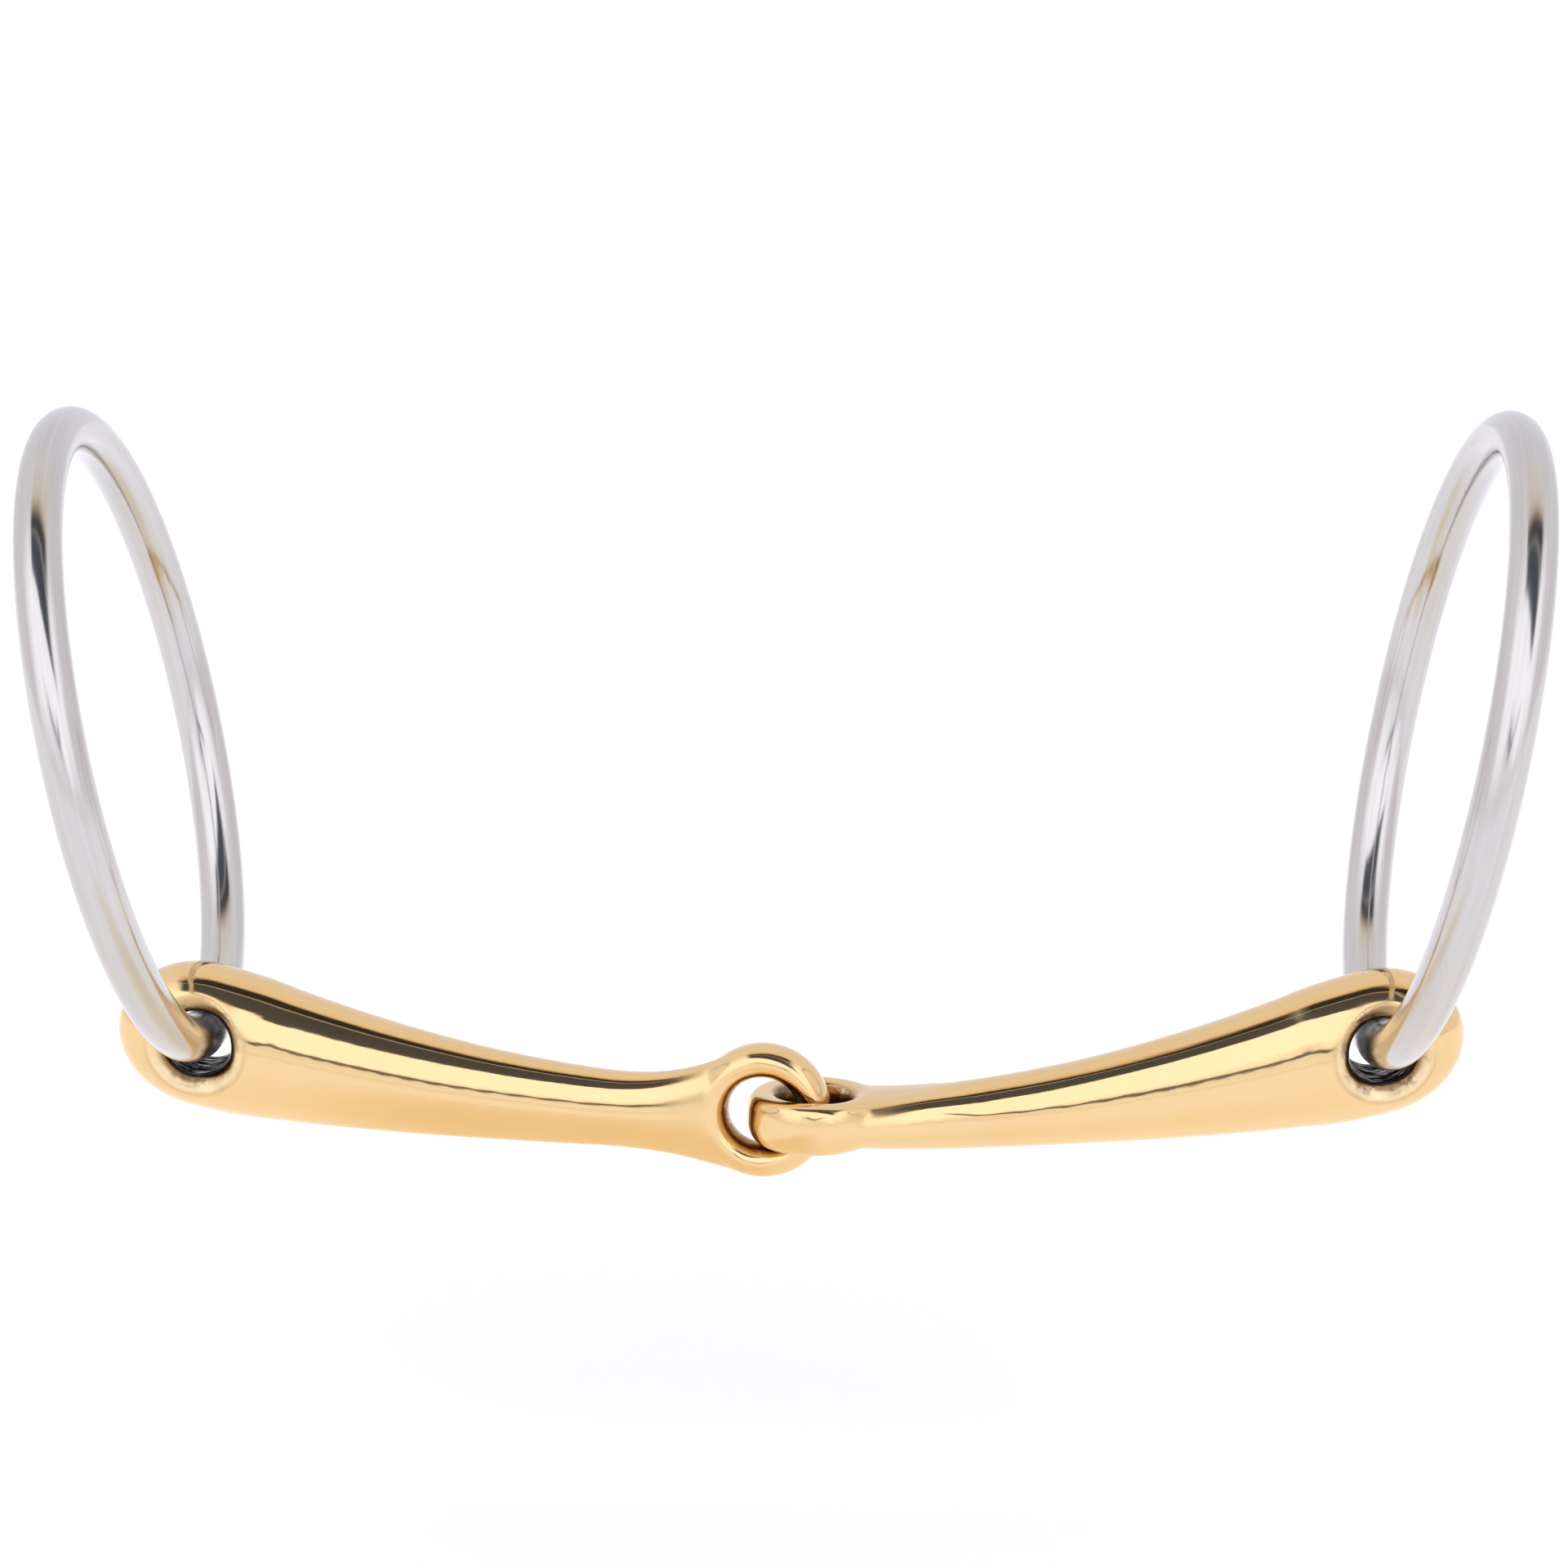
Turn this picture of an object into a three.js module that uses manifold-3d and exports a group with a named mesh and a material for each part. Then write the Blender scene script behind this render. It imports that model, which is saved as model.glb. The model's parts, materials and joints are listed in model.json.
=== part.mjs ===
// A single-jointed loose-ring snaffle bit, hanging from its rings as it hangs from a bridle.
// Millimetres, +Z up. -Y is the front, where the bores of the mouthpiece open.
// The origin is the top of the left ring, inside, where the cheekpiece strap bears on it.
import * as THREE from 'three';
import { mergeVertices } from 'three/addons/utils/BufferGeometryUtils.js';
import Module from 'manifold-3d';

const wasm = await Module();
wasm.setup();

// Rings
const ringInnerDiameter = 70;
const ringBarDiameter = 5.7;
const ringLeanDegrees = 11.6;
const ringToeDegrees = 1.5;

// Mouthpiece halves: the thick outer end is drilled for the ring, the neck carries the eye
const halfLength = 70;
const endOverhang = 11;
const endHeight = 18.1;
const endDepth = 15.4;
const neckWidth = 8.9;
const neckThickness = 7.7;
const bendDegrees = 14.9;
const foldDegrees = 4;

// Bore for the ring, with a rounded countersink at the front and the back
const boreDiameter = 8.2;
const boreThroatLength = 6.4;
const countersinkWidth = 2.2;

// Eyes that hook the two halves together
const eyeDiameter = 12.7;
const eyeBarWidth = 4.1;
const eyeBarDepth = 6.4;
const eyeRise = 0.8;
const eyeRiseLength = 16;

// Fits
const seatGap = 0.3;
const ringSeatGap = 0.4;
const cutOverrun = 2;
const trimAllowance = 0.25;

// Facets
const ringBarFacets = 12;
const ringFacets = 96;
const bodyFacets = 32;
const bodyRings = 28;
const endRings = 8;
const eyeBarFacets = 14;
const eyeFacets = 40;
const boreFacets = 32;
const arcSteps = 5;

// Along a half, from the bore (0) to the eye (1): how much of the extra thickness
// of the outer end is still there, and how the eye's plane widens out of the neck
const taperStationShares = [0, 0.05, 0.1, 0.15, 0.23, 0.32, 0.415, 0.53, 0.68, 0.78, 0.86, 0.97];
const taperShares = [1, 0.985, 0.94, 0.84, 0.7, 0.55, 0.405, 0.25, 0.1, 0.035, 0, 0];
const shoulderStationShares = [0, 0.8, 0.86, 0.895, 0.93, 0.955, 0.97];
const shoulderWidthShares = [0, 0, 0.1, 0.27, 0.55, 0.8, 0.94];
const shoulderThinShares = [0, 0, 0.2, 0.5, 0.85, 1, 1];

const ringRadius = (ringInnerDiameter + ringBarDiameter) / 2;
const eyeRadius = eyeDiameter / 2;
const eyeOuterDiameter = eyeDiameter + eyeBarWidth;
const eyeDrop = eyeRadius - (eyeBarWidth + eyeBarDepth) / 2 - seatGap;
const radians = THREE.MathUtils.degToRad;

const steel = { color: 0xd4d5d8, roughness: 0.14, metalness: 1 };
const goldAlloy = { color: 0xe3b565, roughness: 0.16, metalness: 1 };

function toSolid(geometry) {
  const bare = geometry.index ? geometry.toNonIndexed() : geometry.clone();
  bare.deleteAttribute('normal');
  bare.deleteAttribute('uv');
  const welded = mergeVertices(bare);
  return new wasm.Manifold(new wasm.Mesh({
    numProp: 3,
    vertProperties: new Float32Array(welded.attributes.position.array),
    triVerts: new Uint32Array(welded.index.array),
  }));
}

function toGeometry(solid) {
  const mesh = solid.getMesh();
  const geometry = new THREE.BufferGeometry();
  geometry.setAttribute('position', new THREE.BufferAttribute(mesh.vertProperties, mesh.numProp));
  geometry.setIndex(new THREE.BufferAttribute(mesh.triVerts, 1));
  geometry.computeVertexNormals();
  return geometry;
}

// A value between stations, on a smooth monotone ramp from each station to the next
function along(stations, values, share) {
  const last = stations.length - 1;
  const next = Math.min(last, Math.max(1, stations.findIndex((station) => station >= share)));
  const span = stations[next] - stations[next - 1];
  const slopeAt = (index) => {
    const before = Math.max(0, index - 1);
    const after = Math.min(last, index + 1);
    return (values[after] - values[before]) / (stations[after] - stations[before]);
  };
  const t = THREE.MathUtils.clamp((share - stations[next - 1]) / span, 0, 1);
  const rise = t * t * (3 - 2 * t);
  const start = slopeAt(next - 1) * span * t * (1 - t) * (1 - t);
  const finish = slopeAt(next) * span * t * t * (t - 1);
  return values[next - 1] * (1 - rise) + values[next] * rise + start + finish;
}

// Half sizes of the body at a distance from the eye: in the eye's plane, and across it
function bodySize(distance, endSizeInPlane, endSizeAcross) {
  const share = 1 - distance / halfLength;
  const thick = along(taperStationShares, taperShares, share);
  const wide = along(shoulderStationShares, shoulderWidthShares, share);
  const thin = along(shoulderStationShares, shoulderThinShares, share);
  const inPlane = THREE.MathUtils.lerp(neckWidth, endSizeInPlane, thick);
  const across = THREE.MathUtils.lerp(neckThickness, endSizeAcross, thick);
  return {
    inPlane: THREE.MathUtils.lerp(inPlane, eyeOuterDiameter, wide) / 2,
    across: THREE.MathUtils.lerp(across, eyeBarDepth, thin) / 2,
  };
}

// How far the neck has dropped below the eye's centre at a distance from it
function neckDrop(distance) {
  const left = Math.max(0, 1 - distance / eyeRiseLength);
  return eyeRise * (1 - left ** 2);
}

// The tapered body: a revolved profile, flattened to its oval section and bent upwards
function bodyGeometry(eyeIsUpright) {
  const bodyStart = eyeRadius / 3;
  const profile = [new THREE.Vector2(0, bodyStart)];
  for (let ring = 0; ring < bodyRings; ring += 1) {
    profile.push(new THREE.Vector2(1, THREE.MathUtils.lerp(bodyStart, halfLength, ring / bodyRings)));
  }
  for (let ring = 0; ring < endRings; ring += 1) {
    const angle = (Math.PI / 2) * (ring / endRings);
    profile.push(new THREE.Vector2(Math.cos(angle), halfLength + endOverhang * Math.sin(angle)));
  }
  profile.push(new THREE.Vector2(0, halfLength + endOverhang));
  const geometry = new THREE.LatheGeometry(profile, bodyFacets);
  geometry.rotateZ(-Math.PI / 2);

  const bendRadius = halfLength / radians(bendDegrees);
  const position = geometry.attributes.position;
  const point = new THREE.Vector3();
  for (let index = 0; index < position.count; index += 1) {
    point.fromBufferAttribute(position, index);
    const ends = eyeIsUpright ? [endHeight, endDepth] : [endDepth, endHeight];
    const size = bodySize(Math.min(point.x, halfLength), ...ends);
    const height = point.z * (eyeIsUpright ? size.inPlane : size.across);
    const depth = point.y * (eyeIsUpright ? size.across : size.inPlane);
    const turn = point.x / bendRadius;
    const reach = bendRadius - height;
    const rise = bendRadius - reach * Math.cos(turn) - neckDrop(point.x);
    position.setXYZ(index, reach * Math.sin(turn), depth, rise);
  }
  return geometry;
}

// A ring with an oval bar, round the Y axis
function eyeGeometry() {
  const geometry = new THREE.TorusGeometry(eyeRadius, eyeBarWidth / 2, eyeBarFacets, eyeFacets);
  geometry.scale(1, 1, eyeBarDepth / eyeBarWidth);
  return geometry.rotateX(Math.PI / 2);
}

// What the eye's hole takes out of the body, so that its rounded inner wall stays whole
function eyeHoleGeometry() {
  const profile = [new THREE.Vector2(0, -endHeight)];
  profile.push(new THREE.Vector2(eyeRadius + endHeight, -endHeight));
  for (let step = 0; step <= 2 * arcSteps; step += 1) {
    const angle = Math.PI * (step / (2 * arcSteps) - 0.5);
    const reach = eyeRadius + trimAllowance - (eyeBarWidth / 2) * Math.cos(angle);
    profile.push(new THREE.Vector2(reach, (eyeBarDepth / 2) * Math.sin(angle)));
  }
  profile.push(new THREE.Vector2(eyeRadius + endHeight, endHeight));
  profile.push(new THREE.Vector2(0, endHeight));
  return new THREE.LatheGeometry(profile, eyeFacets);
}

// The bore along Y: a straight throat that opens in a rounded countersink at each face
function boreGeometry() {
  const throatRadius = boreDiameter / 2;
  const halfThroat = boreThroatLength / 2;
  const flareLength = (endDepth - boreThroatLength) / 2;
  const mouth = [];
  for (let step = 1; step <= arcSteps; step += 1) {
    const angle = (Math.PI / 2) * (step / arcSteps);
    const reach = throatRadius + countersinkWidth * (1 - Math.cos(angle));
    mouth.push(new THREE.Vector2(reach, halfThroat + flareLength * Math.sin(angle)));
  }
  const face = halfThroat + flareLength + cutOverrun;
  const upper = [
    new THREE.Vector2(throatRadius, halfThroat),
    ...mouth,
    new THREE.Vector2(throatRadius + countersinkWidth, face),
    new THREE.Vector2(0, face),
  ];
  const lower = upper.map((corner) => new THREE.Vector2(corner.x, -corner.y)).reverse();
  return new THREE.LatheGeometry([...lower, ...upper], boreFacets);
}

// Where the bore's centre lies, seen from the eye's centre
function boreCentre() {
  const bend = radians(bendDegrees);
  const bendRadius = halfLength / bend;
  const rise = bendRadius * (1 - Math.cos(bend)) - neckDrop(halfLength);
  return new THREE.Vector3(bendRadius * Math.sin(bend), 0, rise);
}

// One half, from its eye at the origin to its drilled end along +X
function halfGeometry(eyeIsUpright) {
  const turnEye = (geometry) => (eyeIsUpright ? geometry : geometry.rotateX(Math.PI / 2));
  const bore = boreGeometry();
  bore.translate(...boreCentre().toArray());
  const solid = toSolid(bodyGeometry(eyeIsUpright))
    .subtract(toSolid(turnEye(eyeHoleGeometry())))
    .add(toSolid(turnEye(eyeGeometry())))
    .subtract(toSolid(bore));
  return toGeometry(solid);
}

function namedMesh(name, geometry, look) {
  const mesh = new THREE.Mesh(geometry, new THREE.MeshStandardMaterial(look));
  mesh.name = name;
  return mesh;
}

// side is -1 on the left and 1 on the right, whose level eye rests in the upright one
function mouthpieceHalf(side) {
  const isLeft = side < 0;
  const half = new THREE.Group();
  half.position.set(side * (eyeRadius / 2), 0, isLeft ? 0 : -eyeDrop);
  half.rotation.z = isLeft ? Math.PI - radians(foldDegrees) : radians(foldDegrees);
  const name = isLeft ? 'left_mouthpiece' : 'right_mouthpiece';
  half.add(namedMesh(name, halfGeometry(isLeft), goldAlloy));
  return half;
}

// The ring hangs the mouthpiece by the upper wall of the bore
function ringIn(half, side) {
  half.updateMatrix();
  const halfThroat = boreThroatLength / 2;
  const throatRise = ringRadius - Math.sqrt(ringRadius ** 2 - halfThroat ** 2);
  const slant = halfThroat * Math.tan(radians(Math.abs(foldDegrees - ringToeDegrees)));
  const slack = (boreDiameter - ringBarDiameter) / 2 - ringSeatGap;
  const ring = new THREE.Group();
  ring.position.copy(boreCentre().applyMatrix4(half.matrix));
  ring.position.z += Math.sqrt(slack ** 2 - slant ** 2) - throatRise;
  ring.rotation.set(0, side * radians(ringLeanDegrees), side * radians(ringToeDegrees), 'ZYX');

  const bar = new THREE.TorusGeometry(ringRadius, ringBarDiameter / 2, ringBarFacets, ringFacets);
  bar.rotateY(Math.PI / 2);
  const mesh = namedMesh(side < 0 ? 'left_ring' : 'right_ring', bar, steel);
  mesh.position.z = ringRadius;
  ring.add(mesh);
  return ring;
}

const leftHalf = mouthpieceHalf(-1);
const rightHalf = mouthpieceHalf(1);
const leftRing = ringIn(leftHalf, -1);
const rightRing = ringIn(rightHalf, 1);

leftRing.updateMatrix();
const strapSeat = new THREE.Vector3(0, 0, ringRadius + ringInnerDiameter / 2).applyMatrix4(leftRing.matrix);

const bit = new THREE.Group();
bit.add(leftHalf, rightHalf, leftRing, rightRing);
bit.position.copy(strapSeat).negate();

export default bit;
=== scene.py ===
"""A loose-ring snaffle bit: two steel rings and a gold-coloured, single-jointed mouthpiece."""
import json
import math
import bpy
from mathutils import Matrix, Vector


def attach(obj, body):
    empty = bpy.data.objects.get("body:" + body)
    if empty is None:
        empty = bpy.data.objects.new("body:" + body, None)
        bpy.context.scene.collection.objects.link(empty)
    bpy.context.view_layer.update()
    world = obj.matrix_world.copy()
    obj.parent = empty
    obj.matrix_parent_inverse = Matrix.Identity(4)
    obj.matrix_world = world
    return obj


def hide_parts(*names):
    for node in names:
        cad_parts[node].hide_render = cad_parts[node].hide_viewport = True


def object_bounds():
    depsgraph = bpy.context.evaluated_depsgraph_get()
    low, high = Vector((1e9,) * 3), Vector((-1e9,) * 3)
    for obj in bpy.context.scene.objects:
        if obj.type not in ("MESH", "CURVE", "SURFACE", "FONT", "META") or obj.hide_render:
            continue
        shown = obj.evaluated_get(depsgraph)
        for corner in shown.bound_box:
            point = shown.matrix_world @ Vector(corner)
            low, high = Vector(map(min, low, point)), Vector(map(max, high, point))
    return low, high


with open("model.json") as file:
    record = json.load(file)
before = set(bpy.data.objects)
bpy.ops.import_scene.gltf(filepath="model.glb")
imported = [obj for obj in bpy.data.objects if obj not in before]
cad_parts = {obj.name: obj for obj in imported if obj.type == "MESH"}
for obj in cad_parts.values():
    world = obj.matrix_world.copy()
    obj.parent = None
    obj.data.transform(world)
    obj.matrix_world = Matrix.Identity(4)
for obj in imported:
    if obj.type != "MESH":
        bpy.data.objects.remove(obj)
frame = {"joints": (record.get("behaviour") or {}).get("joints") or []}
cad_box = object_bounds()

MM = 0.001

# Cheek rings
RING_INNER_DIAMETER = 70 * MM
RING_BAR_DIAMETER = 5.7 * MM
RING_STEPS = 256
RING_BAR_SIDES = 56

# Mouthpiece halves, along the bent line from the eye's centre to the bore's centre
HALF_LENGTH = 70 * MM
END_OVERHANG = 11 * MM
END_HEIGHT = 18.1 * MM
END_DEPTH = 15.4 * MM
NECK_WIDTH = 8.9 * MM
NECK_THICKNESS = 7.7 * MM
BEND = math.radians(14.9)
FOLD = math.radians(4)
STATION_SHARES = (0, 0.05, 0.1, 0.15, 0.23, 0.32, 0.415, 0.53, 0.68, 0.78, 0.86, 0.97)
TAPER_SHARES = (1, 0.985, 0.94, 0.84, 0.7, 0.55, 0.405, 0.25, 0.1, 0.035, 0, 0)
SHOULDER_STATION_SHARES = (0, 0.72, 0.79, 0.84, 0.885, 0.93, 0.955, 0.97)
SHOULDER_WIDTH_SHARES = (0, 0, 0.08, 0.21, 0.4, 0.65, 0.83, 0.95)
SHOULDER_THIN_SHARES = (0, 0, 0.08, 0.25, 0.5, 0.85, 1, 1)
BODY_SIDES = 40
BODY_STEPS = 56
END_STEPS = 14

# Bores and eyes
BORE_DIAMETER = 8.2 * MM
THROAT_LENGTH = 8.4 * MM
COUNTERSINK_WIDTH = 2.2 * MM
FOLLOW_UPRIGHT = 0.62
FOLLOW_END = 0.4
FLARE_STEPS = 16
BORE_SIDES = 96
EYE_DIAMETER = 12.7 * MM
EYE_BAR_WIDTH = 4.1 * MM
EYE_BAR_DEPTH = 6.4 * MM
EYE_RISE = 0.8 * MM
EYE_RISE_LENGTH = 16 * MM
EYE_STEPS = 96
EYE_BAR_SIDES = 40
CUT_OVERRUN = 2 * MM
SEAT_GAP = 0.3 * MM
TRIM_ALLOWANCE = 0.25 * MM

# Casting skin: how finely the joined half is closed, and how far its edges are buffed round
SKIN_GRAIN = 0.24 * MM
BUFFING_PASSES = 10
LIP_PASSES = 12
LIP_FADE = (6.5 * MM, 9 * MM)
MIDDLE_SHARE = 0.25
SHOULDER_PASSES = 40
SHOULDER_RISE = (1.5 * MM, 4.5 * MM)
SHOULDER_FALL = (15 * MM, 20 * MM)

# The level eye's squarer upper face, by distance along the neck
SQUARE_FADE = (10 * MM, 22 * MM)
SQUARE_SWELL = (4 * MM, 16 * MM)
SQUARENESS = 0.65

# Vertices closer than this are merged
MERGE_DISTANCE = 0.002 * MM

# The photograph's frame is this many pixels wide and high
PHOTO_PIXELS = 1920
SENSOR_WIDTH = 36

FLOOR_DROP = 40 * MM
FLOOR_SIZE = 30

ring_radius = (RING_INNER_DIAMETER + RING_BAR_DIAMETER) / 2
eye_radius = EYE_DIAMETER / 2
joints = {joint["name"]: joint for joint in frame["joints"]}
scene = bpy.context.scene


def make_camera(position, yaw, pitch, roll, focal_pixels):
    """The photograph's camera: its position is in millimetres and its angles are in degrees."""
    data = bpy.data.cameras.new("camera")
    data.sensor_width = SENSOR_WIDTH
    data.lens = focal_pixels * data.sensor_width / PHOTO_PIXELS
    data.clip_end = 100
    camera = bpy.data.objects.new("camera", data)
    scene.collection.objects.link(camera)
    turn = Matrix.Rotation(math.radians(yaw), 4, "Z")
    turn @= Matrix.Rotation(math.radians(90 - pitch), 4, "X")
    turn @= Matrix.Rotation(math.radians(roll), 4, "Z")
    camera.matrix_world = Matrix.Translation(Vector(position) * MM) @ turn
    scene.camera = camera


make_camera(position=(97.54, -541.42, 74.17),
            yaw=1.19, pitch=11.96, roll=-0.24, focal_pixels=5550)


class Socket:
    """One output in a material, on which Python's operators add Math nodes."""

    def __init__(self, paint, link):
        self.paint, self.link = paint, link

    def math(self, operation, *others):
        inputs = dict(enumerate((self, *others)))
        return self.paint.node("ShaderNodeMath", {"operation": operation}, inputs)

    def __add__(self, other):
        return self.math("ADD", other)

    def __sub__(self, other):
        return self.math("SUBTRACT", other)

    def __mul__(self, other):
        return self.math("MULTIPLY", other)

    def __truediv__(self, other):
        return self.math("DIVIDE", other)

    def __rsub__(self, other):
        return self.paint.node("ShaderNodeMath", {"operation": "SUBTRACT"}, {0: other, 1: self})

    def between(self, low, high):
        """0 at low and below, 1 at high and above, with soft ends."""
        settings = {"interpolation_type": "SMOOTHSTEP"}
        inputs = {0: self, 1: low, 2: high, 3: 0, 4: 1}
        return self.paint.node("ShaderNodeMapRange", settings, inputs)

    def band(self, rise, fall):
        """1 between two soft edges, each given by its own low and high."""
        return self.between(*rise) * (1 - self.between(*fall))


class Paint:
    """The node tree of one material or of the world."""

    def __init__(self, owner):
        owner.use_nodes = True
        self.tree = owner.node_tree
        self.tree.nodes.clear()

    def plug(self, node, key, value):
        if isinstance(value, Socket):
            self.tree.links.new(value.link, node.inputs[key])
        else:
            node.inputs[key].default_value = value

    def add(self, kind, settings=None, inputs=None):
        """A node. Its stops are a colour ramp's: the first, the last and then those between."""
        node = self.tree.nodes.new(kind)
        for key, value in (settings or {}).items():
            if key == "stops":
                ramp = node.color_ramp.elements
                for position, shade in value[2:]:
                    ramp.new(position).color = (*shade, 1)
                for index, (position, shade) in zip((0, -1), value[:2]):
                    ramp[index].position = position
                    ramp[index].color = (*shade, 1)
            else:
                setattr(node, key, value)
        for key, value in (inputs or {}).items():
            self.plug(node, key, value)
        return node

    def node(self, kind, settings=None, inputs=None, output=0):
        return Socket(self, self.add(kind, settings, inputs).outputs[output])

    def mix(self, share, first, second):
        """One colour into another."""
        inputs = {0: share, 6: first, 7: second}
        return self.node("ShaderNodeMix", {"data_type": "RGBA"}, inputs, output=2)

    def axes(self, vector):
        parts = self.add("ShaderNodeSeparateXYZ", None, {0: vector})
        return [Socket(self, output) for output in parts.outputs]

    def noise(self, vector, scale, detail, roughness=0.5):
        inputs = {"Vector": vector, "Scale": scale, "Detail": detail, "Roughness": roughness}
        return self.node("ShaderNodeTexNoise", None, inputs)


def colour(red, green, blue):
    return (red, green, blue, 1)


def deselect():
    bpy.ops.object.select_all(action="DESELECT")


def only(piece):
    deselect()
    piece.select_set(True)
    bpy.context.view_layer.objects.active = piece


def finish_modifier(piece, kind, **settings):
    only(piece)
    modifier = piece.modifiers.new(kind.lower(), kind)
    for key, value in settings.items():
        setattr(modifier, key, value)
    bpy.ops.object.modifier_apply(modifier=modifier.name)


def place(piece, matrix):
    """Moves the piece and leaves its object at the origin."""
    only(piece)
    piece.matrix_world = matrix @ piece.matrix_world
    bpy.ops.object.transform_apply(location=True, rotation=True, scale=True)


def close_mesh(piece):
    """Merges doubles and turns all faces outwards."""
    only(piece)
    bpy.ops.object.mode_set(mode="EDIT")
    bpy.ops.mesh.select_all(action="SELECT")
    bpy.ops.mesh.remove_doubles(threshold=MERGE_DISTANCE)
    bpy.ops.mesh.normals_make_consistent(inside=False)
    bpy.ops.object.mode_set(mode="OBJECT")


def extrude_along_x(sections, sides, name):
    """A closed bar: sections are (x, half height along Y, half depth along Z)."""
    start, half_height, half_depth = sections[0]
    deselect()
    bpy.ops.mesh.primitive_circle_add(
        vertices=sides, radius=1, fill_type="NGON",
        location=(start, 0, 0), rotation=(0, math.pi / 2, 0))
    piece = bpy.context.object
    piece.name = name
    bpy.ops.object.transform_apply(location=True, rotation=True, scale=True)
    bpy.ops.object.mode_set(mode="EDIT")
    bpy.ops.mesh.select_all(action="SELECT")
    bpy.ops.transform.resize(value=(1, half_height, half_depth), center_override=(start, 0, 0))
    for x, height, depth in sections[1:]:
        bpy.ops.mesh.extrude_region_move(TRANSFORM_OT_translate={"value": (x - start, 0, 0)})
        growth = (1, height / half_height, depth / half_depth)
        bpy.ops.transform.resize(value=growth, center_override=(x, 0, 0))
        start, half_height, half_depth = x, height, depth
    bpy.ops.object.mode_set(mode="OBJECT")
    close_mesh(piece)
    return piece


def along(stations, values, share):
    """A value between stations, on a smooth ramp from each station to the next."""
    last = len(stations) - 1
    following = next((i for i, station in enumerate(stations) if station >= share), last)
    following = max(1, following)
    span = stations[following] - stations[following - 1]

    def slope_at(index):
        before, after = max(0, index - 1), min(last, index + 1)
        return (values[after] - values[before]) / (stations[after] - stations[before])

    t = min(1, max(0, (share - stations[following - 1]) / span))
    rise = t * t * (3 - 2 * t)
    start = slope_at(following - 1) * span * t * (1 - t) ** 2
    end = slope_at(following) * span * t * t * (t - 1)
    return values[following - 1] * (1 - rise) + values[following] * rise + start + end


def blend_sizes(first, second, share):
    return first + (second - first) * share


def body_section(distance, end_in_plane, end_across):
    """Half sizes of the body: in the eye's plane, and across it."""
    share = 1 - min(distance, HALF_LENGTH) / HALF_LENGTH
    thick = along(STATION_SHARES, TAPER_SHARES, share)
    wide = along(SHOULDER_STATION_SHARES, SHOULDER_WIDTH_SHARES, share)
    thin = along(SHOULDER_STATION_SHARES, SHOULDER_THIN_SHARES, share)
    in_plane = blend_sizes(NECK_WIDTH, end_in_plane, thick)
    across = blend_sizes(NECK_THICKNESS, end_across, thick)
    return (blend_sizes(in_plane, EYE_DIAMETER + EYE_BAR_WIDTH, wide) / 2,
            blend_sizes(across, EYE_BAR_DEPTH, thin) / 2)


def neck_drop(distance):
    """How far the neck has dropped below the eye's centre at a distance from it."""
    left = max(0, 1 - distance / EYE_RISE_LENGTH)
    return EYE_RISE * (1 - left ** 2)


def lower_neck(body):
    for vertex in body.data.vertices:
        vertex.co.z -= neck_drop(vertex.co.x)


def make_body(eye_is_upright):
    """The tapered bar, bent upwards, with its front up along Z and its top along Y."""
    sections = []
    start = eye_radius / 3
    ends = (END_HEIGHT, END_DEPTH) if eye_is_upright else (END_DEPTH, END_HEIGHT)
    places = [(start + (HALF_LENGTH - start) * step / BODY_STEPS, 1) for step in range(BODY_STEPS)]
    for step in range(END_STEPS):
        angle = math.pi / 2 * step / END_STEPS
        places.append((HALF_LENGTH + END_OVERHANG * math.sin(angle), math.cos(angle)))
    for distance, closing in places:
        in_plane, across = body_section(distance, *ends)
        height, depth = (in_plane, across) if eye_is_upright else (across, in_plane)
        sections.append((distance, height * closing, depth * closing))
    body = extrude_along_x(sections, BODY_SIDES, "body")
    reach = sections[-1][0] - sections[0][0]
    finish_modifier(body, "SIMPLE_DEFORM", deform_method="BEND", deform_axis="Z",
                    angle=BEND * reach / HALF_LENGTH)
    place(body, Matrix.Rotation(math.pi / 2, 4, "X"))
    lower_neck(body)
    return body


def make_ring_bar(radius, bar_width, bar_depth, steps, sides, name):
    """A closed ring round the Y axis: a round section spun, its bar oval along the axis."""
    deselect()
    bpy.ops.mesh.primitive_circle_add(vertices=sides, radius=bar_width / 2, location=(radius, 0, 0))
    piece = bpy.context.object
    piece.name = name
    bpy.ops.object.transform_apply(location=True, rotation=True, scale=True)
    bpy.ops.object.mode_set(mode="EDIT")
    bpy.ops.mesh.select_all(action="SELECT")
    bpy.ops.transform.resize(value=(1, bar_depth / bar_width, 1), center_override=(radius, 0, 0))
    bpy.ops.mesh.spin(steps=steps, angle=2 * math.pi, center=(0, 0, 0), axis=(0, 1, 0))
    bpy.ops.object.mode_set(mode="OBJECT")
    close_mesh(piece)
    return piece


def make_turned_plug(profile, sides, name):
    """A cutter round the Z axis: profile is (radius, height) from the bottom up."""
    (radius, height), rest = profile[0], profile[1:]
    deselect()
    bpy.ops.mesh.primitive_circle_add(
        vertices=sides, radius=radius, fill_type="NGON", location=(0, 0, height))
    piece = bpy.context.object
    piece.name = name
    bpy.ops.object.transform_apply(location=True, rotation=True, scale=True)
    bpy.ops.object.mode_set(mode="EDIT")
    bpy.ops.mesh.select_all(action="SELECT")
    for next_radius, next_height in rest:
        bpy.ops.mesh.extrude_region_move(
            TRANSFORM_OT_translate={"value": (0, 0, next_height - height)})
        growth = next_radius / radius
        bpy.ops.transform.resize(value=(growth, growth, 1), center_override=(0, 0, next_height))
        radius, height = next_radius, next_height
    bpy.ops.object.mode_set(mode="OBJECT")
    close_mesh(piece)
    return piece


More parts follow.
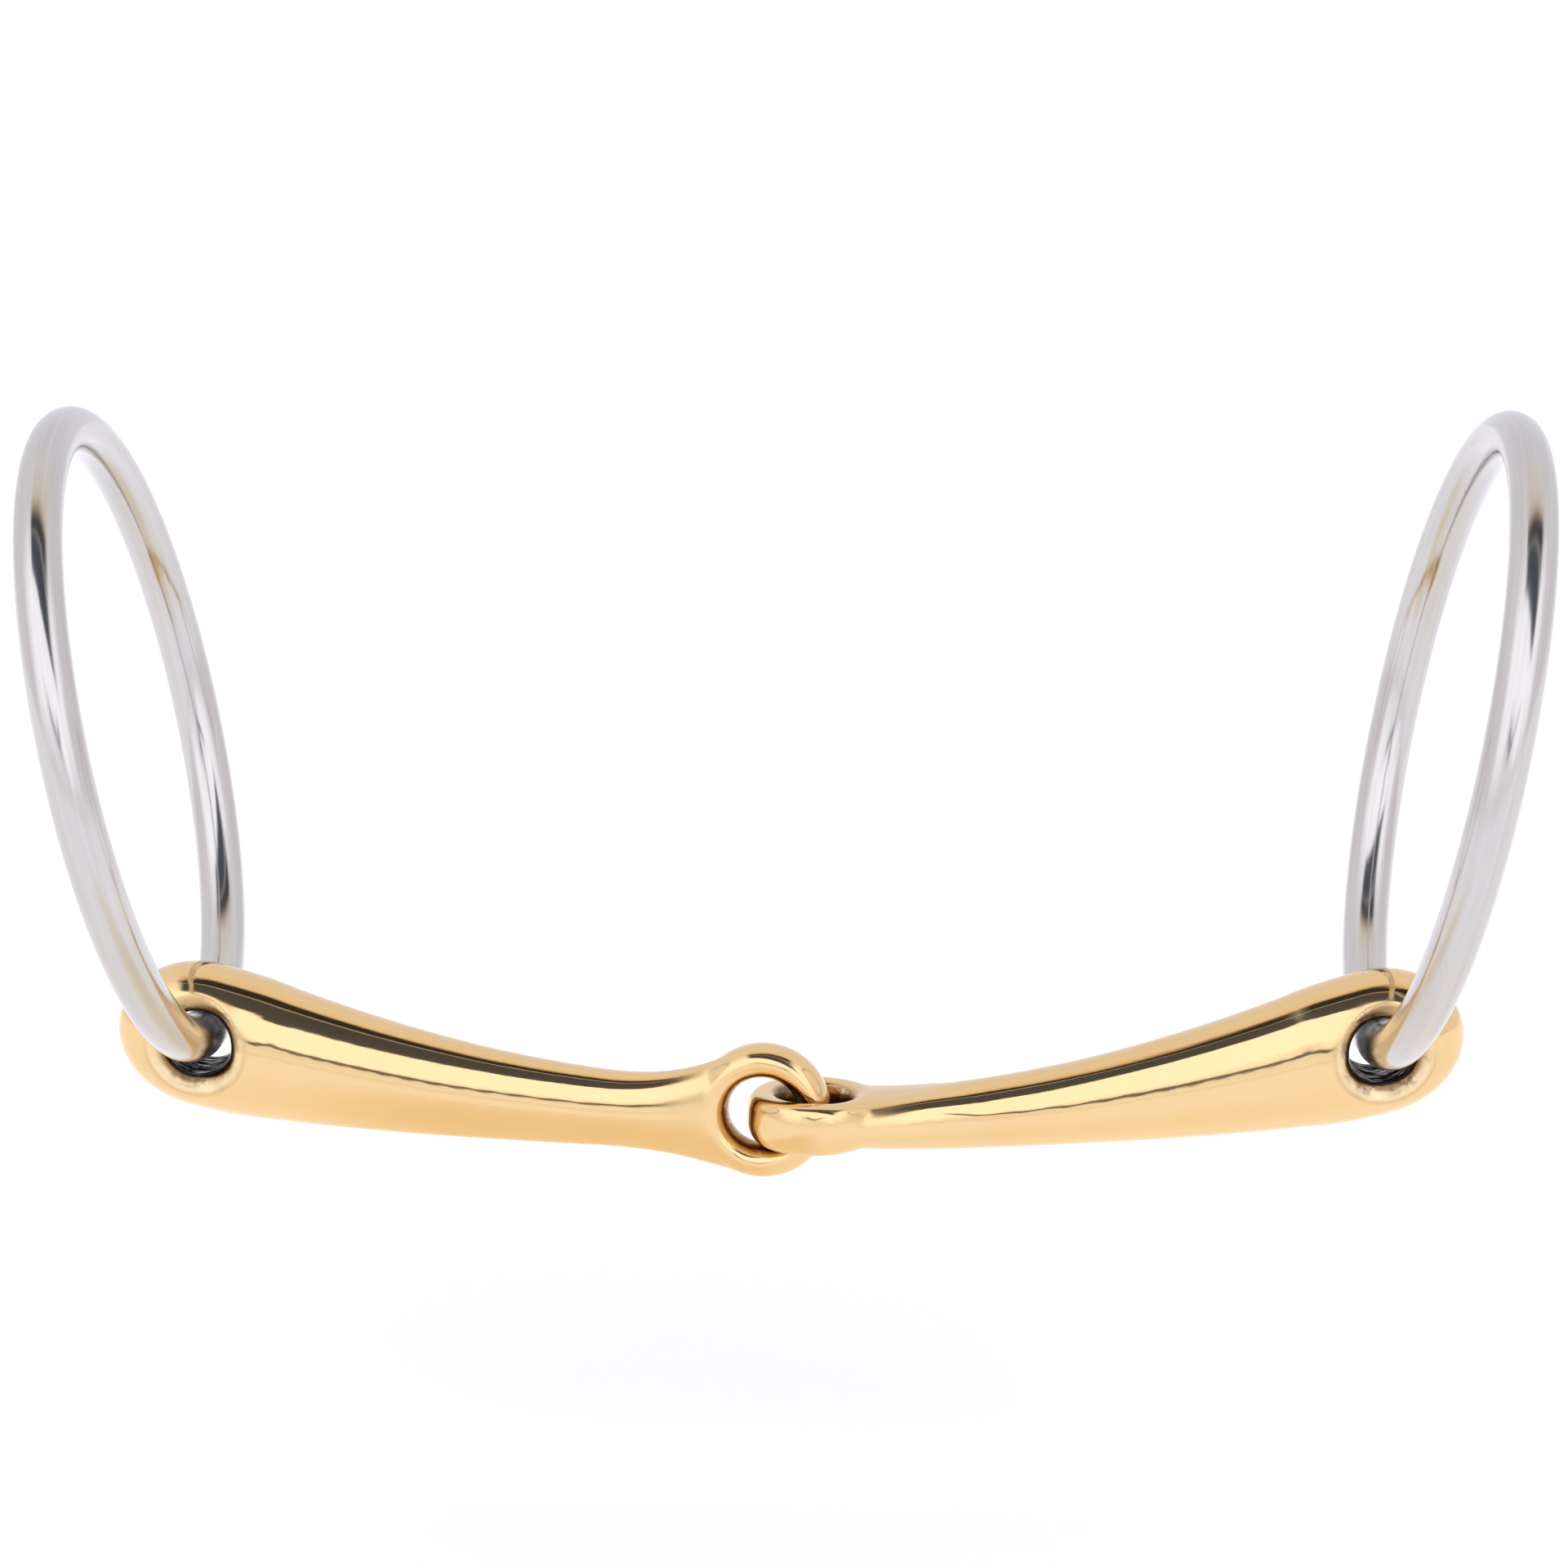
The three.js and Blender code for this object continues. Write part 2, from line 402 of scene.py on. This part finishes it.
def make_bore_cutter():
    """A straight throat whose countersinks follow the body's round faces.

    Its flat ends stay where they are, outside the body, so that no metal is left in front.
    """
    throat, half_throat = BORE_DIAMETER / 2, THROAT_LENGTH / 2
    flare_length = END_DEPTH / 2 - half_throat
    mouth = []
    for step in range(1, FLARE_STEPS + 1):
        angle = math.pi / 2 * step / FLARE_STEPS
        mouth.append((throat + COUNTERSINK_WIDTH * (1 - math.cos(angle)),
                      half_throat + flare_length * math.sin(angle)))
    face = (throat + COUNTERSINK_WIDTH, half_throat + flare_length + CUT_OVERRUN)
    upper = [(throat, half_throat), *mouth, face]
    lower = [(radius, -height) for radius, height in reversed(upper)]
    plug = make_turned_plug(lower + upper, BORE_SIDES, "bore_cutter")
    for vertex in plug.data.vertices:
        x, y, z = vertex.co
        beyond = abs(z) - half_throat
        if 0 < beyond < flare_length + CUT_OVERRUN / 2:
            upright_share = y * y / (x * x + y * y)
            end_share = max(0, x) * x / (x * x + y * y)
            beyond *= 1 - FOLLOW_UPRIGHT * upright_share - FOLLOW_END * end_share
            vertex.co.z = math.copysign(half_throat + beyond, z)
    return plug


def make_eye_cutter():
    """What the eye's hole takes out of the body, so that the eye's inner wall stays whole."""
    outside = eye_radius - EYE_BAR_WIDTH / 2 + EYE_BAR_DEPTH
    profile = [(outside, -END_HEIGHT)]
    for step in range(2 * FLARE_STEPS + 1):
        angle = math.pi * (step / (2 * FLARE_STEPS) - 0.5)
        profile.append((eye_radius + TRIM_ALLOWANCE - EYE_BAR_WIDTH / 2 * math.cos(angle),
                        EYE_BAR_DEPTH / 2 * math.sin(angle)))
    profile.append((outside, END_HEIGHT))
    return make_turned_plug(profile, BORE_SIDES, "eye_cutter")


def combine(piece, tool, operation):
    finish_modifier(piece, "BOOLEAN", operation=operation, solver="EXACT", object=tool)
    bpy.data.objects.remove(tool)


def bore_centre():
    """Where the bore's centre lies, seen from the eye's centre."""
    bend_radius = HALF_LENGTH / BEND
    rise = bend_radius * (1 - math.cos(BEND)) - neck_drop(HALF_LENGTH)
    return Vector((bend_radius * math.sin(BEND), 0, rise))


def soft_step(low, high, value):
    share = min(1, max(0, (value - low) / (high - low)))
    return share * share * (3 - 2 * share)


def near_bore(point):
    """1 on the lips of the bore, 0 away from them, and a small share along the half's middle."""
    if abs(point.y) <= THROAT_LENGTH / 3:
        return MIDDLE_SHARE
    centre = bore_centre()
    reach = math.hypot(point.x - centre.x, point.z - centre.z)
    return 1 - soft_step(*LIP_FADE, reach)


def near_shoulder(point):
    """1 where the eye grows out of the neck."""
    return soft_step(*SHOULDER_RISE, point.x) * (1 - soft_step(*SHOULDER_FALL, point.x))


def square_top(half):
    """Flattens the level eye's upper face and tightens its edges, out along the neck."""
    bend_radius = HALF_LENGTH / BEND
    for vertex in half.data.vertices:
        x, y, z = vertex.co
        fade = 1 - soft_step(*SQUARE_FADE, x)
        if fade == 0:
            continue
        out = max(0, x)
        middle = out * out / (2 * bend_radius) - neck_drop(out)
        top = blend_sizes(EYE_BAR_DEPTH, NECK_THICKNESS, soft_step(*SQUARE_SWELL, x)) / 2
        share = (z - middle) / top
        if 0 < share < 1:
            vertex.co.z = middle + top * (1 - (1 - share) ** (1 + SQUARENESS * fade))


def buff(piece, name, share_at, passes):
    """Rounds one place of the skin further."""
    group = piece.vertex_groups.new(name=name)
    for vertex in piece.data.vertices:
        share = share_at(vertex.co)
        if share > 0:
            group.add([vertex.index], share, "REPLACE")
    finish_modifier(piece, "SMOOTH", factor=0.5, iterations=passes, vertex_group=name)
    piece.vertex_groups.clear()


def make_half(name, eye_is_upright, eye_centre, turn):
    """One half of the mouthpiece: bar and eye joined, bored, and buffed in one skin."""
    upright = Matrix.Rotation(math.pi / 2, 4, "X")
    half = make_body(eye_is_upright)
    eye_cutter = make_eye_cutter()
    eye = make_ring_bar(eye_radius, EYE_BAR_WIDTH, EYE_BAR_DEPTH, EYE_STEPS, EYE_BAR_SIDES, "eye")
    if eye_is_upright:
        place(eye_cutter, upright)
    else:
        place(eye, upright)
    bore_cutter = make_bore_cutter()
    place(bore_cutter, Matrix.Translation(bore_centre()) @ upright)
    combine(half, eye_cutter, "DIFFERENCE")
    combine(half, eye, "UNION")
    combine(half, bore_cutter, "DIFFERENCE")
    half.name = name
    half.data.name = name
    finish_modifier(half, "REMESH", mode="VOXEL", voxel_size=SKIN_GRAIN, use_smooth_shade=True)
    if not eye_is_upright:
        square_top(half)
    finish_modifier(half, "SMOOTH", factor=0.5, iterations=BUFFING_PASSES)
    buff(half, "lip", near_bore, LIP_PASSES)
    buff(half, "shoulder", near_shoulder, SHOULDER_PASSES)
    place(half, Matrix.Translation(eye_centre) @ Matrix.Rotation(turn, 4, "Z"))
    only(half)
    bpy.ops.object.shade_smooth()
    return half


def make_cheek_ring(name, joint):
    """A ring of round bar about the joint's own centre and axis."""
    ring = make_ring_bar(ring_radius, RING_BAR_DIAMETER, RING_BAR_DIAMETER,
                         RING_STEPS, RING_BAR_SIDES, name)
    ring.data.name = name
    turn = Vector((0, 1, 0)).rotation_difference(Vector(joint["axis"])).to_matrix().to_4x4()
    place(ring, Matrix.Translation(Vector(joint["pos_m"])) @ turn)
    only(ring)
    bpy.ops.object.shade_smooth()
    return ring


def distance_from_line(paint, coordinates, point, direction):
    """How far a place on the surface is from a line through the piece."""
    offset = paint.node("ShaderNodeVectorMath", {"operation": "SUBTRACT"},
                        {0: coordinates, 1: point})
    across = paint.node("ShaderNodeVectorMath", {"operation": "CROSS_PRODUCT"},
                        {0: offset, 1: direction})
    return paint.node("ShaderNodeVectorMath", {"operation": "LENGTH"}, {0: across}, output="Value")


def stretched(paint, coordinates, x, y, z):
    """Coordinates times a factor on each axis, to draw a pattern out."""
    return paint.node("ShaderNodeVectorMath", {"operation": "MULTIPLY"},
                      {0: coordinates, 1: (x, y, z)})


STEEL_DARK, STEEL_LIGHT = colour(0.535, 0.51, 0.50), colour(0.62, 0.592, 0.572)
GOLD_DEEP, GOLD_LIGHT = colour(0.785, 0.545, 0.27), colour(0.825, 0.59, 0.31)
# Painted highlight: a cream reflection on the lower lip of the bore
LIP_HIGHLIGHT_GOLD = colour(0.88, 0.72, 0.48)
# Painted shade: a thin dark line along the countersink's outer edge
LIP_CREASE_SHADE = colour(0.46, 0.31, 0.15)
# Painted shade: brown round the throat of the bore
LIP_SHADE_BROWN = colour(0.32, 0.2, 0.09)
SMUDGE_GREY = colour(0.16, 0.14, 0.12)
THROAT_METAL = colour(0.55, 0.53, 0.50)
EYE_BROWN = colour(0.24, 0.13, 0.055)
# Painted shade: near black on the eye's inner wall at its far end from the bore
EYE_SHADE_BLACK = colour(0.05, 0.035, 0.025)
# Painted glints: lighter gold specks on the eye's inner wall
GLINT_GOLD = colour(0.85, 0.72, 0.5)
# Painted shade: a dull black layer for the dark inside of the bore
BORE_SHADE_BLACK = colour(0.018, 0.016, 0.015)
RELIEF_HEIGHT = 0.05 * MM


def metal(paint, material, tone, roughness, relief, shade_share=None):
    """Ends a metal's tree: relief is a height from 0 to 1; the last argument is a share of painted
    shade in dull black.
    """
    bump = paint.node("ShaderNodeBump", None, {
        "Strength": 1.0, "Distance": RELIEF_HEIGHT, "Height": relief})
    shader = paint.add("ShaderNodeBsdfPrincipled", None, {
        "Base Color": tone, "Metallic": 1.0, "Roughness": roughness, "Normal": bump})
    # Painted shade: dull black mixed over the polished metal
    if shade_share is not None:
        black = paint.add("ShaderNodeBsdfPrincipled", None, {
            "Base Color": BORE_SHADE_BLACK, "Roughness": 0.8, "Specular IOR Level": 0.0})
        polished, shader = shader, paint.add("ShaderNodeMixShader", None, {0: shade_share})
        paint.tree.links.new(polished.outputs[0], shader.inputs[1])
        paint.tree.links.new(black.outputs[0], shader.inputs[2])
    output = paint.add("ShaderNodeOutputMaterial")
    paint.tree.links.new(shader.outputs[0], output.inputs[0])
    return material


def polished_steel(name, centre, axis):
    """Steel bar, drawn and polished: fine streaks run along the bar, round the ring."""
    material = bpy.data.materials.new(name)
    paint = Paint(material)
    place_on = paint.node("ShaderNodeTexCoord", output="Object")
    offset = paint.node("ShaderNodeVectorMath", {"operation": "SUBTRACT"}, {0: place_on, 1: centre})

    def along_direction(direction):
        return paint.node("ShaderNodeVectorMath", {"operation": "DOT_PRODUCT"},
                          {0: offset, 1: direction}, output="Value")

    first = axis.orthogonal().normalized()
    across = along_direction(axis) / MM
    one, other = along_direction(first) / MM, along_direction(axis.cross(first)) / MM
    outwards = (one * one + other * other).math("SQRT") - ring_radius / MM
    drawn = paint.node("ShaderNodeCombineXYZ", None, {0: across, 1: outwards, 2: one * 0.03})
    streaks = paint.node("ShaderNodeTexNoise", {"noise_dimensions": "4D"}, {
        "Vector": drawn, "W": other * 0.03, "Scale": 1.3, "Detail": 4, "Roughness": 0.6})
    haze = paint.noise(place_on, 120, detail=4, roughness=0.6)
    waves = paint.noise(place_on, 170, detail=1)
    tone = paint.mix(streaks.between(0.3, 0.7) * 0.7 + haze * 0.3, STEEL_DARK, STEEL_LIGHT)
    relief = waves * 0.5 + streaks * 0.3
    return metal(paint, material, tone, haze * 0.05 + streaks * 0.06 + 0.1, relief)


def polished_gold(name, bore_line, eye_line, tarnish):
    """Gold-coloured alloy: scratched and painted dark as shade in the bore; in the eye browned,
    with painted shade and painted glints.

    Each line is a point and a direction, and tarnish is the depth of the smudges on the lip.
    The distances from the lines are in millimetres.
    """
    material = bpy.data.materials.new(name)
    paint = Paint(material)
    place_on = paint.node("ShaderNodeTexCoord", output="Object")
    haze = paint.noise(place_on, 70, detail=3)
    waves = paint.noise(place_on, 120, detail=1)
    lines = paint.noise(stretched(paint, place_on, 60, 900, 900), 1, detail=3, roughness=0.7)
    tone = paint.mix(haze, GOLD_DEEP, GOLD_LIGHT)

    bore = distance_from_line(paint, place_on, *bore_line) / MM
    rim = BORE_DIAMETER / 2 / MM
    throat = 1 - bore.between(rim + 0.02, rim + 0.16)
    inner_lip_shade = 1 - bore.between(rim + 0.1, rim + 1.5)
    lip = 1 - bore.between(rim + 0.2, rim + COUNTERSINK_WIDTH / MM)
    height = paint.axes(place_on)[2] / MM - bore_line[0].z / MM
    lower = 1 - height.between(-3.5, 4)
    # Painted highlight: a cream band on the lower part of the countersink
    lip_highlight = bore.band((rim + 0.4, rim + 1.1), (rim + 1.5, rim + 2.2)) * lower
    # Painted shade: a thin darker line at the countersink's outer edge, low on the lip
    lip_crease_shade = bore.band((rim + 1.8, rim + 2.2), (rim + 2.2, rim + 2.7)) * lower
    satin = 1 - bore.between(rim + 1.9, rim + 3.2)
    smudge = paint.noise(place_on, 420, detail=4, roughness=0.7).between(0.46, 0.62)
    scratched = paint.noise(stretched(paint, place_on, 450, 2200, 450), 1, detail=4, roughness=0.75)
    bare = scratched.between(0.5, 0.62)
    tone = paint.mix(lip_highlight * 0.55, tone, LIP_HIGHLIGHT_GOLD)
    tone = paint.mix(lip_crease_shade * 0.3, tone, LIP_CREASE_SHADE)
    # Painted shade: brown round the throat, mottled by the smudges
    tone = paint.mix(inner_lip_shade * (smudge * 0.35 + 0.6), tone, LIP_SHADE_BROWN)
    tone = paint.mix(lip * smudge * tarnish, tone, SMUDGE_GREY)
    tone = paint.mix(throat, tone, THROAT_METAL)

    eye = distance_from_line(paint, place_on, *eye_line) / MM
    inner = (EYE_DIAMETER - EYE_BAR_WIDTH) / 2 / MM
    # The eye's inner wall: browner, with painted shade at its far end and painted glints
    inner_eye_wall = 1 - eye.between(inner + 0.25, inner + 1.3)
    near_eye = 1 - eye.between(8.5, 15)
    flank = near_eye * (1 - bore.between(62, 67))
    shaded_end_bar = bore.between(70, 74)
    glint_specks = paint.noise(place_on, 1300, detail=3, roughness=0.7).between(0.58, 0.66)
    tone = paint.mix(inner_eye_wall * (smudge * 0.2 + 0.75), tone, EYE_BROWN)
    # Painted shade: near black on the eye's inner wall at the far end
    tone = paint.mix(inner_eye_wall * shaded_end_bar * 0.8, tone, EYE_SHADE_BLACK)
    # Painted glints, fewer at the shaded far end
    tone = paint.mix(inner_eye_wall * glint_specks * (0.75 - shaded_end_bar * 0.5), tone, GLINT_GOLD)

    roughness = haze * 0.03 + 0.04 + satin * 0.2 + inner_eye_wall * 0.1 + near_eye * 0.06 + flank * 0.13
    relief = waves * 0.9 + lines * 0.03 + throat * scratched * 1.5
    # Painted shade: the bore's wall dull black, but for scratched bare spots
    return metal(paint, material, tone, roughness, relief, throat * (1 - bare * 0.85))


# The world by its rise from the horizon on the viewer's side, 90 overhead and 180 on the far side:
# (degrees, colour at half its strength)
SKY = ((0, (0.58, 0.60, 0.64)), (8, (0.53, 0.54, 0.57)), (16, (0.62, 0.63, 0.67)),
       (21, (0.76, 0.77, 0.84)), (58.8, (0.76, 0.77, 0.84)), (60.4, (0.05, 0.056, 0.072)),
       (84, (0.042, 0.047, 0.06)), (85.2, (0.24, 0.24, 0.24)), (86.4, (0.22, 0.22, 0.22)),
       (87.6, (0.016, 0.016, 0.02)), (94, (0.025, 0.024, 0.026)), (99.5, (0.40, 0.33, 0.25)),
       (105, (0.49, 0.45, 0.40)), (122, (0.49, 0.48, 0.475)), (138, (0.46, 0.46, 0.50)),
       (180, (0.46, 0.46, 0.50)))
OPEN_SKY = ((0, (0.57, 0.58, 0.61)), (20, (0.74, 0.75, 0.80)), (62, (0.76, 0.77, 0.82)),
            (104, (0.50, 0.50, 0.52)), (180, (0.46, 0.46, 0.49)))
SIDE_WALL = (0.49, 0.48, 0.505)
FULL_STRENGTH = 2
EDGE_DIMMING = 1.6


def sky_ramp(paint, rise, bands):
    first, *between, last = [(degrees / 180, shade) for degrees, shade in bands]
    return paint.node("ShaderNodeValToRGB", {"stops": [first, last, *between]}, {0: rise / 180})


def make_studio():
    """The world: a bright box in front, a dark gap overhead and a plain room behind.

    The camera itself sees plain white, and the object reflects and is lit by the rest.
    """
    world = bpy.data.worlds.new("studio")
    scene.world = world
    paint = Paint(world)
    direction = paint.node("ShaderNodeTexCoord", output="Generated")
    x, y, z = paint.axes(direction)
    rise = z.math("ARCTAN2", y * -1) * (180 / math.pi)
    side = x.math("ARCSINE") * (180 / math.pi)
    away = side.math("ABSOLUTE")
    within = side.band((-26, -18), (26, 38))
    tilted = rise + side * 0.7 * (1 - rise.between(60, 95))
    light = paint.mix(within, sky_ramp(paint, rise, OPEN_SKY), sky_ramp(paint, tilted, SKY))
    light = paint.mix(away.between(42, 66), light, colour(*SIDE_WALL))
    off_edge = (rise - away * 0.8 - 10).math("ABSOLUTE")
    edge = (1 - off_edge.between(1.5, 4.0)) * (1 - away.between(11, 17))
    seen = paint.node("ShaderNodeLightPath", output="Is Camera Ray")
    strength = FULL_STRENGTH - edge * EDGE_DIMMING
    background = paint.add("ShaderNodeBackground", None, {0: light, 1: strength})
    plain = paint.add("ShaderNodeBackground", None, {0: colour(1, 1, 1), 1: 1})
    choice = paint.add("ShaderNodeMixShader", None, {0: seen})
    output = paint.add("ShaderNodeOutputWorld")
    paint.tree.links.new(background.outputs[0], choice.inputs[1])
    paint.tree.links.new(plain.outputs[0], choice.inputs[2])
    paint.tree.links.new(choice.outputs[0], output.inputs[0])


def make_floor():
    """A plain white floor that keeps the bit's soft shadow.

    Reflections see it tinted: a painted warm shadow near the middle line on the left, and grey
    elsewhere.
    """
    lowest = cad_box[0][2] - FLOOR_DROP
    deselect()
    bpy.ops.mesh.primitive_plane_add(size=FLOOR_SIZE, location=(0, 0, lowest))
    floor = bpy.context.object
    floor.name = "floor"
    material = bpy.data.materials.new("floor_white")
    paint = Paint(material)
    x, y, z = paint.axes(paint.node("ShaderNodeTexCoord", output="Object"))
    off_line = y.math("ABSOLUTE")
    left = x.band((0.005, 0.04), (0.06, 0.11))
    glossy = paint.node("ShaderNodeLightPath", output="Is Glossy Ray")
    ahead = paint.mix(off_line.between(0.3, 0.7),
                      colour(0.43, 0.45, 0.50), colour(0.33, 0.33, 0.35))
    plain = paint.mix(off_line.between(0.02, 0.11), colour(0.42, 0.42, 0.38), ahead)
    # Painted shadow, warmed by light off the gold, seen in reflections under the left half
    painted_warm_shadow = paint.mix(off_line.between(0.05, 0.24), colour(0.335, 0.235, 0.03), ahead)
    reflected = paint.mix(left, plain, painted_warm_shadow)
    glow = paint.mix(glossy, colour(0.27, 0.27, 0.27), reflected)
    matt = paint.add("ShaderNodeBsdfDiffuse", None, {0: colour(0.8, 0.8, 0.8)})
    glow = paint.add("ShaderNodeEmission", None, {0: glow, 1: 1})
    both = paint.add("ShaderNodeAddShader")
    output = paint.add("ShaderNodeOutputMaterial")
    paint.tree.links.new(matt.outputs[0], both.inputs[0])
    paint.tree.links.new(glow.outputs[0], both.inputs[1])
    paint.tree.links.new(both.outputs[0], output.inputs[0])
    floor.data.materials.append(material)


fold = joints["mouthpiece_fold"]
right_eye = Vector(fold["pos_m"])
eye_drop = eye_radius - (EYE_BAR_WIDTH + EYE_BAR_DEPTH) / 2 - SEAT_GAP
left_eye = right_eye + Vector((-eye_radius, 0, eye_drop))

left_half = make_half("left_half", True, left_eye, math.pi - FOLD)
right_half = make_half("right_half", False, right_eye, FOLD)
left_cheek_ring = make_cheek_ring("left_cheek_ring", joints["left_ring_turn"])
right_cheek_ring = make_cheek_ring("right_cheek_ring", joints["right_ring_turn"])

for half, centre, turn, eye_axis, tarnish in (
        (left_half, left_eye, math.pi - FOLD, (0, 1, 0), 0.5),
        (right_half, right_eye, FOLD, (0, 0, 1), 0.95)):
    turned = Matrix.Rotation(turn, 4, "Z")
    bore_line = (centre + turned @ bore_centre(), turned @ Vector((0, 1, 0)))
    eye_line = (centre, turned @ Vector(eye_axis))
    half.data.materials.clear()
    half.data.materials.append(polished_gold(half.name + "_gold", bore_line, eye_line, tarnish))
for ring, joint_name in ((left_cheek_ring, "left_ring_turn"),
                         (right_cheek_ring, "right_ring_turn")):
    joint = joints[joint_name]
    ring.data.materials.clear()
    ring.data.materials.append(polished_steel(
        ring.name + "_steel", Vector(joint["pos_m"]), Vector(joint["axis"]).normalized()))

for piece, node in ((left_half, "left_mouthpiece"), (right_half, "right_mouthpiece"),
                    (left_cheek_ring, "left_ring"), (right_cheek_ring, "right_ring")):
    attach(piece, node)
    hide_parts(node)

make_studio()
make_floor()
scene.view_settings.view_transform = "Standard"
